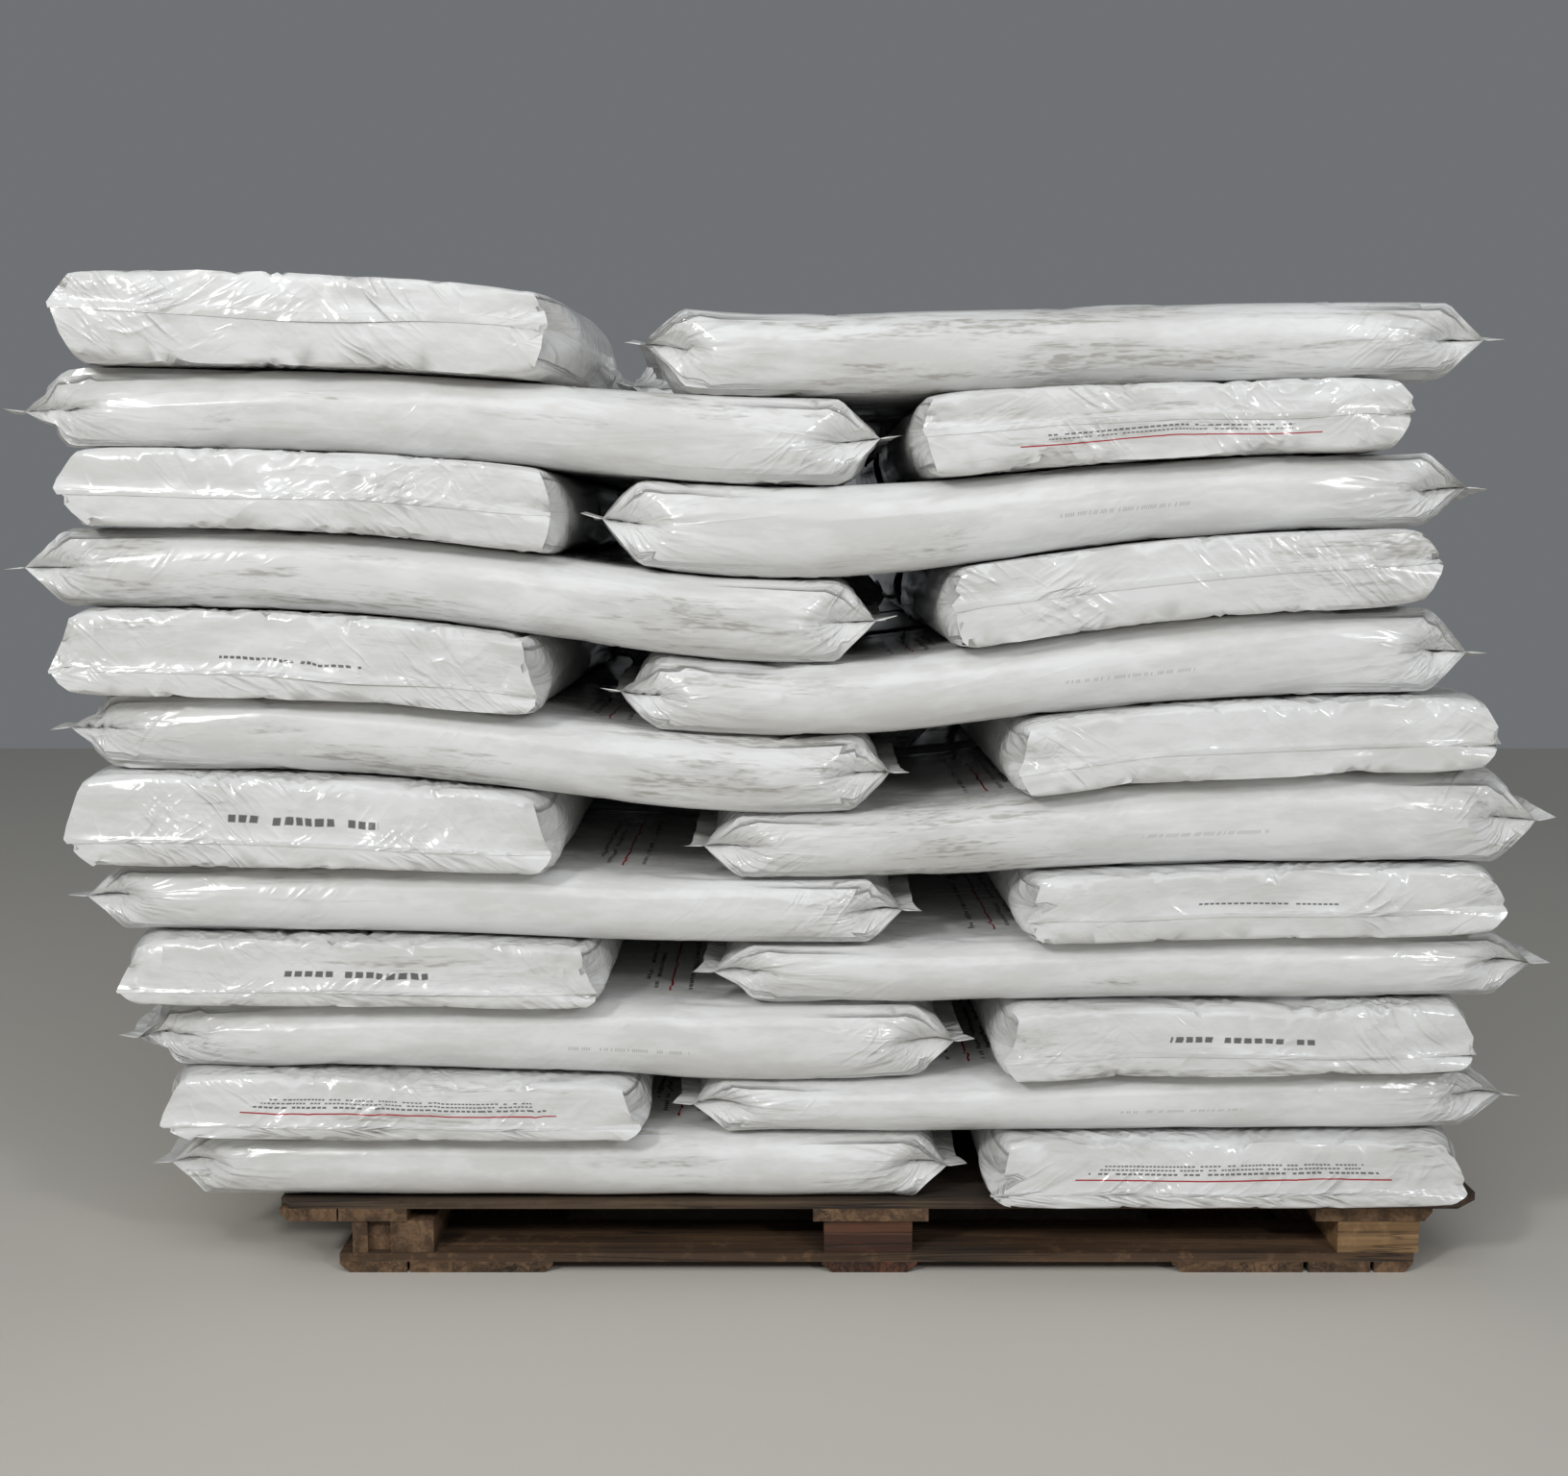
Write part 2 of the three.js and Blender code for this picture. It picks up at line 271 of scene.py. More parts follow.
def add_plate(corners):
    """A still plate that the film can't pass, facing the middle of the sack."""
    mesh = bpy.data.meshes.new("plate")
    mesh.from_pydata(corners, [], [(0, 1, 2, 3)])
    plate = bpy.data.objects.new("plate", mesh)
    SCENE.collection.objects.link(plate)
    plate.modifiers.new("plate", "COLLISION")
    plate.collision.thickness_outer = PLATE_SKIN
    plate.collision.cloth_friction = 4
    return plate


def add_plates(blunt):
    """A plate below and one above, and one against each end of a blunt sack."""
    plates = []
    for side in (-1, 1):
        level = side * PLATE_HEIGHT
        corners = [(-1, side, level), (1, side, level), (1, -side, level), (-1, -side, level)]
        plates.append(add_plate(corners))
        if blunt:
            wall = side * (BLUNT_HALF + END_PLATE_GAP)
            corners = [(wall, -1, side), (wall, 1, side), (wall, 1, -side), (wall, -1, -side)]
            plates.append(add_plate(corners))
    return plates


print("plates", round(2000 * PLATE_HEIGHT), "mm apart")

# %% Fill the tubes
PUCKER_REACH = 0.03
PUCKER_SHRINK = 0.03
POINTED_STEPS = 14
BLUNT_STEPS = 16


def remove_object(thing):
    mesh = thing.data
    bpy.data.objects.remove(thing)
    bpy.data.meshes.remove(mesh)


def make_film_cloth(tube, flat):
    """Give a tube the cloth of a thin film, which the weld draws in a little."""
    near_weld = np.clip(1 - (CUT_LENGTH / 2 - np.abs(flat[:, 0])) / PUCKER_REACH, 0, 1)
    puckered = tube.vertex_groups.new(name="puckered")
    for index in np.nonzero(near_weld)[0]:
        puckered.add([int(index)], float(near_weld[index]), "REPLACE")
    cloth = tube.modifiers.new("cloth", "CLOTH")
    film = cloth.settings
    film.quality = 5
    film.mass = 0.2
    film.tension_stiffness = 40
    film.compression_stiffness = 40
    film.shear_stiffness = 20
    film.bending_stiffness = 0.02
    film.tension_damping = 8
    film.compression_damping = 8
    film.shear_damping = 8
    film.air_damping = 3
    film.use_pressure = True
    film.uniform_pressure_force = 12
    film.vertex_group_shrink = "puckered"
    film.shrink_min = 0.0
    film.shrink_max = PUCKER_SHRINK
    film.rest_shape_key = tube.data.shape_keys.key_blocks["flat"]
    film.effector_weights.gravity = 0
    cloth.collision_settings.use_collision = True
    cloth.collision_settings.distance_min = PLATE_SKIN
    cloth.collision_settings.use_self_collision = False


def fill_sack(blunt, seed, crumple, steps):
    """Fill one tube and give back the place of every corner of its grid."""
    flat, opened, grid = tube_shapes(blunt, seed, crumple)
    tube = tube_mesh(f"tube_{seed}", flat, opened, grid)
    plates = add_plates(blunt)
    make_film_cloth(tube, flat)
    for step in range(1, steps + 1):
        SCENE.frame_set(step)
    filled = tube.evaluated_get(bpy.context.evaluated_depsgraph_get())
    places = np.empty(len(flat) * 3, dtype=np.float32)
    filled.data.vertices.foreach_get("co", places)
    SCENE.frame_set(1)
    for thing in [tube, *plates]:
        remove_object(thing)
    return places.reshape(-1, 3).astype(float)[grid]


POINTED_LOOKS = ((3, 0.006), (8, 0.008))
BLUNT_LOOKS = ((4, 0.005), (9, 0.007))
POINTED = [fill_sack(False, seed, crumple, POINTED_STEPS) for seed, crumple in POINTED_LOOKS]
BLUNT = [fill_sack(True, seed, crumple, BLUNT_STEPS) for seed, crumple in BLUNT_LOOKS]
for places in POINTED + BLUNT:
    print("filled sack", np.ptp(places.reshape(-1, 3), axis=0).round(3))

# %% [markdown]
# ## Add the lips
# Beyond each weld the sheets go on as a thin flat lip. On a free end it stands out and
# curls a little. On a blunt end it lies folded down, follows the face below the weld and
# lifts off it here and there. The lip is far thinner than the steps of the mesh, so the
# simulation can't make it, and the code grows it out of the weld line in a few rows.

# %% Lips of two kinds
LIP_ROWS = 5
LIP_HALF = 0.0007
FOLDED_HALF = 0.00025
FOLDED_LIP = 0.0060
LIP_LIFT = 0.0006
LIP_EDGE_SHARE = 0.1


def free_lip(line, end, seed):
    """Each row of a lip that stands out from its weld, and the way its thickness points."""
    across = line[:, 1:2]
    lean = soft_noise(across, 9, seed) * 0.35 + soft_noise(across, 34, seed + 1) * 0.25
    corner = np.clip((np.abs(line[:, 1]) / (CUT_WIDTH / 2) - 0.8) / 0.2, 0, 1)
    lean = lean + corner * np.sign(line[:, 1]) * 0.5 * math.sin(seed)
    place = line.copy()
    for step in range(1, LIP_ROWS + 1):
        angle = lean * min(1.0, 0.45 + step / LIP_ROWS * 0.75)
        outward = np.stack([end * np.cos(angle), 0 * angle, np.sin(angle)], axis=1)
        upward = np.stack([-end * np.sin(angle), 0 * angle, np.cos(angle)], axis=1)
        place = place + outward * LIP_LENGTH / LIP_ROWS
        yield place, upward * LIP_HALF


def folded_lip(line, beneath, end, seed):
    """The same for a lip that lies folded down on the face and lifts off it here and there."""
    down = (beneath - line) / np.linalg.norm(beneath - line, axis=1)[:, None]
    lifted = np.clip(soft_noise(line[:, 1:2], 14, seed + 4) - 0.7, 0, 1) * 0.35
    for step in range(1, LIP_ROWS + 1):
        drop = FOLDED_LIP * step / LIP_ROWS
        place = line + down * drop
        place[:, 0] += end * (LIP_LIFT + lifted * drop)
        yield place, np.full_like(line, end * FOLDED_HALF) * [1, 0, 0]


print("lips", round(LIP_LENGTH * 1000), "mm free and", round(FOLDED_LIP * 1000), "mm folded")

# %% [markdown]
# ## Join body and lips
# Every vertex keeps its place on the flat film, and which panel it belongs to, so that
# print and creases can be laid out as they are on the real film, before it is filled.
# Each shape is scaled so that one unit of height is half the layer's thickness. Then the
# same shape fits a thick layer and a thin one.

# %% Build one sack shape
FACE_FLATNESS = 0.20
FACE_RELIEF = 0.022
FACE_NARROWING = 0.09
FACE_REACH = 0.10
WELD_WIDENING = 0.035
UPPER = list(range(RIGHT_FOLD + 1))
LOWER = [(LOWER_RIGHT + step) % RING for step in range(PANEL + 1)]


def flattened_ends(places):
    """Press the blunt faces flatter, as they are where the sack was set down hard."""
    reach = np.abs(places[:, :, 0]).max()
    behind = reach - np.abs(places[:, :, 0])
    share = FACE_FLATNESS + (1 - FACE_FLATNESS) * np.clip(behind / FACE_RELIEF, 0, 1)
    places[:, :, 0] = np.sign(places[:, :, 0]) * (reach - behind * share)
    return places


def body_film():
    """Along and across the flat film for each grid corner, and its panel: 1, 0 or -1."""
    film = []
    for row in range(ROWS + 1):
        along = -CUT_LENGTH / 2 + CUT_LENGTH * row / ROWS
        for column, (across, _, panel) in enumerate(FLAT_RING):
            if panel == 0:
                right = RIGHT_FOLD <= column <= LOWER_RIGHT
                middle = RIGHT_FOLD + TUCK if right else LOWER_LEFT + TUCK
                across = (column - middle) * COLUMN_STEP * (-1 if right else 1)
            film.append((along, across, panel))
    return film


def body_faces():
    faces = []
    for row in range(ROWS):
        here, above = row * RING, (row + 1) * RING
        for column in range(RING):
            beside = (column + 1) % RING
            faces.append((here + column, above + column, above + beside, here + beside))
    return faces


def add_lip(vertices, film, faces, row, end, lip):
    """Join the rows of a lip to the weld, and close its outer edge."""
    inner = [row * RING + column for column in UPPER + LOWER]
    for step, (place, thickness) in enumerate(lip, start=1):
        thickness = thickness * (1 + LIP_EDGE_SHARE - step / LIP_ROWS)
        ring = np.concatenate([place + thickness, (place - thickness)[::-1]])
        outer = list(range(len(vertices), len(vertices) + len(ring)))
        vertices += [tuple(point) for point in ring]
        reach = end * (CUT_LENGTH / 2 + LIP_LENGTH * step / LIP_ROWS)
        film += [(reach, float(point[1]), 2) for point in ring]
        for one in range(len(ring)):
            two = (one + 1) % len(ring)
            face = (inner[one], outer[one], outer[two], inner[two])
            faces.append(face if end > 0 else face[::-1])
        inner = outer
    for one in range(PANEL):
        two = 2 * PANEL + 1 - one
        face = (inner[one], inner[two], inner[two - 1], inner[one + 1])
        faces.append(face if end > 0 else face[::-1])


def scaled_shape(vertices, body, blunt):
    """Scale a shape to its nominal size, and narrow the top and bottom of blunt faces."""
    shape = np.array(vertices)
    nominal = END_LENGTH / 2 if blunt else NOMINAL_LENGTH / 2 - LIP_LENGTH
    shape[:, 0] *= nominal / np.abs(body[:, 0]).max()
    shape[:, 1] *= SACK_WIDTH / 2 / np.abs(body[:, 1]).max()
    shape[:, 2] /= np.abs(body[:, 2]).max()
    if blunt:
        near_face = np.clip(1 - (nominal - np.abs(shape[:, 0])) / FACE_REACH, 0, 1) ** 2
        height = np.clip(np.abs(shape[:, 2]), 0, 1)
        wider = WELD_WIDENING * (1 - height) - FACE_NARROWING * height**1.5
        shape[:, 1] *= 1 + near_face * wider
    return shape


def sack_shape(places, blunt, seed):
    """Vertices, faces and film places of one filled sack with its lips."""
    places = places - [places[:, :, 0].mean(), 0, 0]
    if blunt:
        places = flattened_ends(places)
    vertices = [tuple(place) for place in places.reshape(-1, 3)]
    film, faces = body_film(), body_faces()
    for end, row in ((-1, 0), (1, ROWS)):
        line, beneath = places[row, UPPER], places[row - end, LOWER[::-1]]
        if blunt:
            lip = folded_lip(line, beneath, end, seed + 2 * end)
        else:
            lip = free_lip(line, end, seed + 2 * end)
        add_lip(vertices, film, faces, row, end, lip)
    shape = scaled_shape(vertices, places.reshape(-1, 3), blunt)
    return shape, faces, np.array(film)


print("vertices on a lip's edge", 2 * len(UPPER))

# %% [markdown]
# ## Make lighter copies
# Sixty sacks of the full mesh would be too heavy. A Decimate modifier keeps most triangles
# where the film is creased, and a plain coarser grid would lose just those creases. Sacks
# that are seen close get half of the triangles, and the hidden ones a fifth. The modifier
# moves vertices a little, so on blunt shapes the film places are measured again along the
# filled form. Otherwise a printed rule would waver.

# %% Lighter shapes
NEAR_RATIO = 0.5
FAR_RATIO = 0.2
HALF_THICKNESS = SURFACE_HEIGHTS[1] * MM / 2


def lighter_shape(shape, faces, film, ratio):
    """The same shape with fewer triangles, most of them kept where the film is creased."""
    mesh = bpy.data.meshes.new("whole")
    mesh.from_pydata((shape * [1, 1, HALF_THICKNESS]).tolist(), [], faces)
    flat_place = mesh.attributes.new("film", "FLOAT_VECTOR", "POINT")
    flat_place.data.foreach_set("vector", film.astype(np.float32).ravel())
    whole = bpy.data.objects.new("whole", mesh)
    SCENE.collection.objects.link(whole)
    fewer = whole.modifiers.new("fewer", "DECIMATE")
    fewer.ratio = ratio
    evaluated = whole.evaluated_get(bpy.context.evaluated_depsgraph_get())
    small = bpy.data.meshes.new_from_object(evaluated)
    places = np.array([vertex.co for vertex in small.vertices])
    polygons = [tuple(polygon.vertices) for polygon in small.polygons]
    fewer_film = np.array([value.vector for value in small.attributes["film"].data])
    remove_object(whole)
    bpy.data.meshes.remove(small)
    places[:, 2] /= HALF_THICKNESS
    return places, polygons, fewer_film


def even_film(shape, film):
    """Film places measured along the filled form, so that print crosses the face straight."""
    body = np.abs(film[:, 0]) <= CUT_LENGTH / 2
    along, up = np.abs(shape[body, 0]), np.abs(shape[body, 2]) * HALF_THICKNESS
    distance = up + np.clip(along.max() - along - FACE_RELIEF, 0, None)
    from_middle = CUT_LENGTH / 2 * (1 - distance / distance.max())
    film[body, 0] = np.sign(film[body, 0]) * from_middle
    return film


SHAPES = {}
for blunt, filled in ((False, POINTED), (True, BLUNT)):
    for index, places in enumerate(filled):
        shape = sack_shape(places, blunt, 20 + 7 * index)
        for detail, ratio in (("near", NEAR_RATIO), ("far", FAR_RATIO)):
            fewer, polygons, film = lighter_shape(*shape, ratio)
            SHAPES[blunt, index, detail] = fewer, polygons, even_film(fewer, film) if blunt else film
for key, (_, polygons, _) in SHAPES.items():
    print("shape", key, sum(len(polygon) - 2 for polygon in polygons), "triangles")

# %% [markdown]
# ## Film finish
# White film is glossy, dusty and creased. A painted image would blur close up and repeat on
# all sixty sacks, so everything is worked out from noise and from the film's own places.
# The shader groups below each add one effect, and the film's material puts them together.

# %% Helpers for shader groups


def new_group(name, inputs, outputs):
    group = bpy.data.node_groups.new(name, "ShaderNodeTree")
    for label, kind, value in inputs:
        socket = group.interface.new_socket(label, in_out="INPUT", socket_type=kind)
        if value is not None:
            socket.default_value = value
    for label, kind in outputs:
        group.interface.new_socket(label, in_out="OUTPUT", socket_type=kind)
    start = group.nodes.new("NodeGroupInput")
    end = group.nodes.new("NodeGroupOutput")
    return group, start, end


def add_node(tree, kind, values=(), **settings):
    """Add a node. Settings are its own properties, values are (socket, number or link)."""
    node = tree.nodes.new(kind)
    for name, value in settings.items():
        setattr(node, name, value)
    for socket, value in values:
        if isinstance(value, bpy.types.NodeSocket):
            tree.links.new(value, node.inputs[socket])
        else:
            node.inputs[socket].default_value = value
    return node


def maths(tree, operation, *values):
    return add_node(tree, "ShaderNodeMath", enumerate(values), operation=operation).outputs[0]


def remap(tree, value, low, high, new_low=0.0, new_high=1.0, smooth=True):
    kind = "SMOOTHSTEP" if smooth else "LINEAR"
    values = [("Value", value), ("From Min", low), ("From Max", high)]
    values += [("To Min", new_low), ("To Max", new_high)]
    return add_node(tree, "ShaderNodeMapRange", values, interpolation_type=kind).outputs["Result"]


def mix_colours(tree, factor, first, second, blend="MIX"):
    node = add_node(tree, "ShaderNodeMix", data_type="RGBA", blend_type=blend)
    for socket, value in (("Factor", factor), ("A", first), ("B", second)):
        target = [s for s in node.inputs if s.name == socket and s.enabled][0]
        if isinstance(value, bpy.types.NodeSocket):
            tree.links.new(value, target)
        else:
            target.default_value = value
    return [s for s in node.outputs if s.enabled][0]


def noise(tree, vector, scale, detail=3.0, roughness=0.55, distortion=0.0):
    values = [("Vector", vector), ("Scale", scale), ("Detail", detail)]
    values += [("Roughness", roughness), ("Distortion", distortion)]
    return add_node(tree, "ShaderNodeTexNoise", values).outputs["Fac"]


def one_noise(tree, value):
    """A random number for each whole value."""
    node = add_node(tree, "ShaderNodeTexWhiteNoise", [("W", value)], noise_dimensions="1D")
    return node.outputs["Value"]


def stretched(tree, vector, scale):
    values = [("Vector", vector), ("Scale", scale)]
    return add_node(tree, "ShaderNodeMapping", values).outputs["Vector"]


def three_parts(tree, vector):
    """The X, Y and Z of a vector."""
    return add_node(tree, "ShaderNodeSeparateXYZ", [("Vector", vector)]).outputs


def placed(tree, group, values=()):
    """Place a group in a material and set or link its inputs."""
    node = tree.nodes.new("ShaderNodeGroup")
    node.node_tree = group
    for socket, value in values:
        if isinstance(value, bpy.types.NodeSocket):
            tree.links.new(value, node.inputs[socket])
        else:
            node.inputs[socket].default_value = value
    return node


def both(tree, *masks):
    """The masks multiplied: one only where all of them are one."""
    whole = masks[0]
    for mask in masks[1:]:
        whole = maths(tree, "MULTIPLY", whole, mask)
    return whole


def either(tree, *masks):
    """The highest of the masks at each place."""
    whole = masks[0]
    for mask in masks[1:]:
        whole = maths(tree, "MAXIMUM", whole, mask)
    return whole


def added(tree, *values):
    whole = values[0]
    for value in values[1:]:
        whole = maths(tree, "ADD", whole, value)
    return whole


def ridged(tree, value, power):
    """One along the lines where a noise passes its middle, falling off to both sides."""
    off = maths(tree, "ABSOLUTE", maths(tree, "MULTIPLY_ADD", value, 2.0, -1.0))
    return maths(tree, "POWER", maths(tree, "SUBTRACT", 1.0, off), power)


print("shader helpers ready")

# %% [markdown]
# Film that has been bent keeps creases. Above and below a weld they slant away from it, in
# a few places only. On the sides they fan out from each end of a weld, where the tuck was
# gathered. Cut into the mesh they would need millions of triangles, so they are bump. A
# ridged noise gives them, because its crest lines are sharp and end softly. The heights
# are in millimetres, so that each one can be judged against the real thing.

# %% Group of creases: dents, puckers, pleats and crumples
CREASES, inside, outside = new_group(
    "film_creases",
    [
        ("Place", "NodeSocketVector", None),
        ("Film", "NodeSocketVector", None),
        ("Seed", "NodeSocketFloat", 0.0),
    ],
    [("Height", "NodeSocketFloat")],
)
place, seed = inside.outputs["Place"], inside.outputs["Seed"]
along, across, panel = three_parts(CREASES, inside.outputs["Film"])
from_weld = maths(CREASES, "SUBTRACT", CUT_LENGTH / 2, maths(CREASES, "ABSOLUTE", along))


def film_space(x, y):
    """A place for a noise, from two values of the film and the sack's own number."""
    values = [("X", x), ("Y", y), ("Z", seed)]
    return add_node(CREASES, "ShaderNodeCombineXYZ", values).outputs["Vector"]


dents = both(CREASES, noise(CREASES, place, 14.0, 2.0, 0.45), 1.1)

slant = maths(CREASES, "MULTIPLY_ADD", from_weld, 0.8, across)
lean = film_space(maths(CREASES, "MULTIPLY", slant, 42.0), maths(CREASES, "MULTIPLY", from_weld, 15.0))
patches = remap(CREASES, noise(CREASES, place, 8.0, 1.0), 0.46, 0.80)
by_weld = remap(CREASES, from_weld, 0.012, 0.070, 1.0, 0.0)
crests = ridged(CREASES, noise(CREASES, lean, 1.0, 1.0, 0.4), 2.0)
puckers = both(CREASES, crests, by_weld, patches, 4.6)

angle = maths(CREASES, "ARCTAN2", across, maths(CREASES, "ADD", from_weld, 0.004))
fan = film_space(maths(CREASES, "MULTIPLY", angle, 5.5), maths(CREASES, "MULTIPLY", from_weld, 9.0))
on_tuck = remap(CREASES, maths(CREASES, "ABSOLUTE", panel), 0.2, 0.9, 1.0, 0.0)
starts = remap(CREASES, from_weld, 0.01, 0.045)
fades = remap(CREASES, from_weld, 0.07, 0.19, 1.0, 0.0)
crests = ridged(CREASES, noise(CREASES, fan, 1.0, 2.0, 0.5), 1.5)
pleats = both(CREASES, crests, on_tuck, starts, fades, 2.6)

turned = stretched(CREASES, place, (20, 32, 32))
crests = ridged(CREASES, noise(CREASES, turned, 1.0, 1.0, 0.4, 0.6), 2.0)
near_end = remap(CREASES, from_weld, 0.03, 0.17, 1.0, 0.10)
patches = remap(CREASES, noise(CREASES, place, 9.0, 1.0), 0.45, 0.75)
crumples = both(CREASES, crests, near_end, patches, 2.6)
print("crease group nodes so far", len(CREASES.nodes))

# %% [markdown]
# The longest creases run one way each: fine lines along the sack, and two sets that slant
# from the weld and cross. A Mapping node of the texture type turns the noise first and
# stretches it afterwards, so the creases slant. The usual point type would only stretch
# it along the sack's own axes.

# %% Creases that run one way


def creased_along(turn, size, power, low, high, amount):
    """Creases that run one way, in the patches where a broad noise lets them."""
    values = [("Vector", place), ("Rotation", (0, turn, 0.12)), ("Scale", size)]
    turned = add_node(CREASES, "ShaderNodeMapping", values, vector_type="TEXTURE").outputs["Vector"]
    crests = ridged(CREASES, noise(CREASES, turned, 1.0, 1.0, 0.5, 0.5), power)
    patch = remap(CREASES, noise(CREASES, place, 6.0 + abs(turn), 2.0), low, high)
    return both(CREASES, crests, patch, amount)


lines = creased_along(-0.10, (0.30, 0.024, 0.024), 6.0, 0.45, 0.7, 0.5)
near_weld = remap(CREASES, from_weld, 0.05, 0.18, 1.0, 0.20)
slanted = creased_along(-0.75, (0.060, 0.020, 0.014), 2.5, 0.46, 0.70, 2.3)
crossing = creased_along(0.50, (0.040, 0.020, 0.012), 2.5, 0.52, 0.74, 1.4)
wrinkles = both(CREASES, either(CREASES, slanted, crossing), near_weld)
on_lip = remap(CREASES, from_weld, -0.001, -0.003)
crimp_noise = noise(CREASES, stretched(CREASES, place, (60, 130, 60)), 1.0, 2.0)
crimp = both(CREASES, crimp_noise, on_lip, 0.6)
whole = added(CREASES, dents, puckers, pleats, crumples, lines, wrinkles, crimp)
CREASES.links.new(whole, outside.inputs["Height"])
print("crease group nodes", len(CREASES.nodes))

# %% [markdown]
# Dirt on film lies in rubbed streaks along the sack, where it was dragged over something,
# broken up by finer specks, with a few thin dark scratches between them. An even grey
# would look like another colour of film. One number says how dirty the sack is: it lowers
# the threshold above which the streaks show.

# %% Group of rubbed dirt
DIRT, inside, outside = new_group(
    "rubbed_dirt",
    [("Place", "NodeSocketVector", None), ("Amount", "NodeSocketFloat", 0.5)],
    [("Mask", "NodeSocketFloat")],
)
place, amount = inside.outputs["Place"], inside.outputs["Amount"]
cloud = noise(DIRT, stretched(DIRT, place, (3, 9, 9)), 1.0, 2.0)
streaks = noise(DIRT, stretched(DIRT, place, (5, 62, 62)), 1.0, 5.0, 0.72, 0.5)
gathered = maths(DIRT, "ADD", streaks, maths(DIRT, "MULTIPLY_ADD", cloud, 0.9, -0.45))
threshold = maths(DIRT, "MULTIPLY_ADD", amount, -0.24, 0.68)
smudge = remap(DIRT, gathered, threshold, maths(DIRT, "ADD", threshold, 0.16))
fine = noise(DIRT, stretched(DIRT, place, (60, 320, 320)), 1.0, 1.0)
specks = remap(DIRT, fine, 0.35, 0.62, 0.25, 1.0)
haze = both(DIRT, remap(DIRT, cloud, 0.40, 0.75), amount, 0.35)
scratch_noise = noise(DIRT, stretched(DIRT, place, (6, 48, 48)), 1.0, 3.0, 0.6, 0.8)
strength = maths(DIRT, "MULTIPLY_ADD", amount, 0.5, 0.15)
scratches = both(DIRT, ridged(DIRT, scratch_noise, 26.0), remap(DIRT, cloud, 0.48, 0.62), strength)
DIRT.links.new(either(DIRT, both(DIRT, smudge, specks), scratches, haze), outside.inputs["Mask"])
print("dirt group nodes", len(DIRT.nodes))

# %% [markdown]
# The print is generic: red rules and rows of small dark blocks that say nothing. On the
# real sack it is printed before the film is filled. So it is laid out here in the flat
# film's own places and bends with the film, which no projection onto the filled sack
# would do. Each sack carries the number of its kind of marks.

# %% Group of plain marks
MARKS, inside, outside = new_group(
    "plain_marks",
    [
        ("Film", "NodeSocketVector", None),
        ("Kind", "NodeSocketFloat", 0.0),
        ("Seed", "NodeSocketFloat", 0.0),
    ],
    [("Red", "NodeSocketFloat"), ("Dark", "NodeSocketFloat"), ("Faint", "NodeSocketFloat")],
)


def band(tree, value, centre, half, soft=0.0004):
    """One within half of the centre and nothing outside it, with a soft edge."""
    off = maths(tree, "ABSOLUTE", maths(tree, "SUBTRACT", value, centre))
    return remap(tree, off, half - soft, half + soft, 1.0, 0.0)


along, across, panel = three_parts(MARKS, inside.outputs["Film"])
kind, seed = inside.outputs["Kind"], inside.outputs["Seed"]
from_weld = maths(MARKS, "SUBTRACT", CUT_LENGTH / 2, maths(MARKS, "ABSOLUTE", along))
upper = band(MARKS, panel, 1.0, 0.12, 0.02)
lower = band(MARKS, panel, -1.0, 0.12, 0.02)
side = band(MARKS, panel, 0.0, 0.04, 0.01)
print("mark group nodes so far", len(MARKS.nodes))

# %% Rules and rows of blocks
RULE_HALF = 0.0010
FAINT_PITCH = 0.0021


def is_kind(number):
    return band(MARKS, kind, float(number), 0.4, 0.05)


def rule(distance, half_width):
    """A thin line across the sack, at a distance from the weld."""
    line = band(MARKS, from_weld, distance, RULE_HALF)
    return both(MARKS, line, band(MARKS, across, 0.0, half_width))


def marks_row(distance, half_height, half_width, pitch, density, fill=0.36):
    """A row of small blocks across the sack, some of them left out at random."""
    shifted = maths(MARKS, "ADD", across, maths(MARKS, "MULTIPLY", seed, 0.037))
    steps = maths(MARKS, "DIVIDE", shifted, pitch)
    pick = one_noise(MARKS, maths(MARKS, "ADD", maths(MARKS, "FLOOR", steps), round(distance * 977)))
    return both(
        MARKS,
        band(MARKS, from_weld, distance, half_height),
        band(MARKS, across, 0.0, half_width),
        band(MARKS, maths(MARKS, "FRACT", steps), 0.5, fill, 0.06),
        maths(MARKS, "LESS_THAN", pick, density),
    )


red_upper = both(MARKS, upper, is_kind(1), rule(0.017, 0.160))
red_lower = both(MARKS, lower, is_kind(2), rule(0.034, 0.150))
red_broad = both(MARKS, upper, rule(0.290, 0.170))
rows_upper = either(
    MARKS,
    marks_row(0.0255, 0.0013, 0.150, 0.0060, 0.85),
    marks_row(0.0310, 0.0010, 0.140, 0.0042, 0.85),
    marks_row(0.0360, 0.0010, 0.140, 0.0042, 0.80),
)
rows_lower = either(
    MARKS,
    marks_row(0.0190, 0.0013, 0.120, 0.0060, 0.85),
    marks_row(0.0255, 0.0010, 0.120, 0.0042, 0.85),
)
rows_broad = either(
    MARKS,
    marks_row(0.270, 0.0020, 0.160, 0.0080, 0.85),
    marks_row(0.305, 0.0020, 0.160, 0.0080, 0.85),
    marks_row(0.315, 0.0020, 0.120, 0.0080, 0.80),
)
dark = either(
    MARKS,
    both(MARKS, upper, is_kind(1), rows_upper),
    both(MARKS, lower, is_kind(2), rows_lower),
    both(MARKS, upper, is_kind(3), marks_row(0.021, 0.0040, 0.075, 0.0105, 0.8)),
    both(MARKS, upper, is_kind(4), marks_row(0.014, 0.0013, 0.070, 0.0060, 0.85)),
    both(MARKS, upper, rows_broad),
)
print("mark group nodes so far", len(MARKS.nodes))

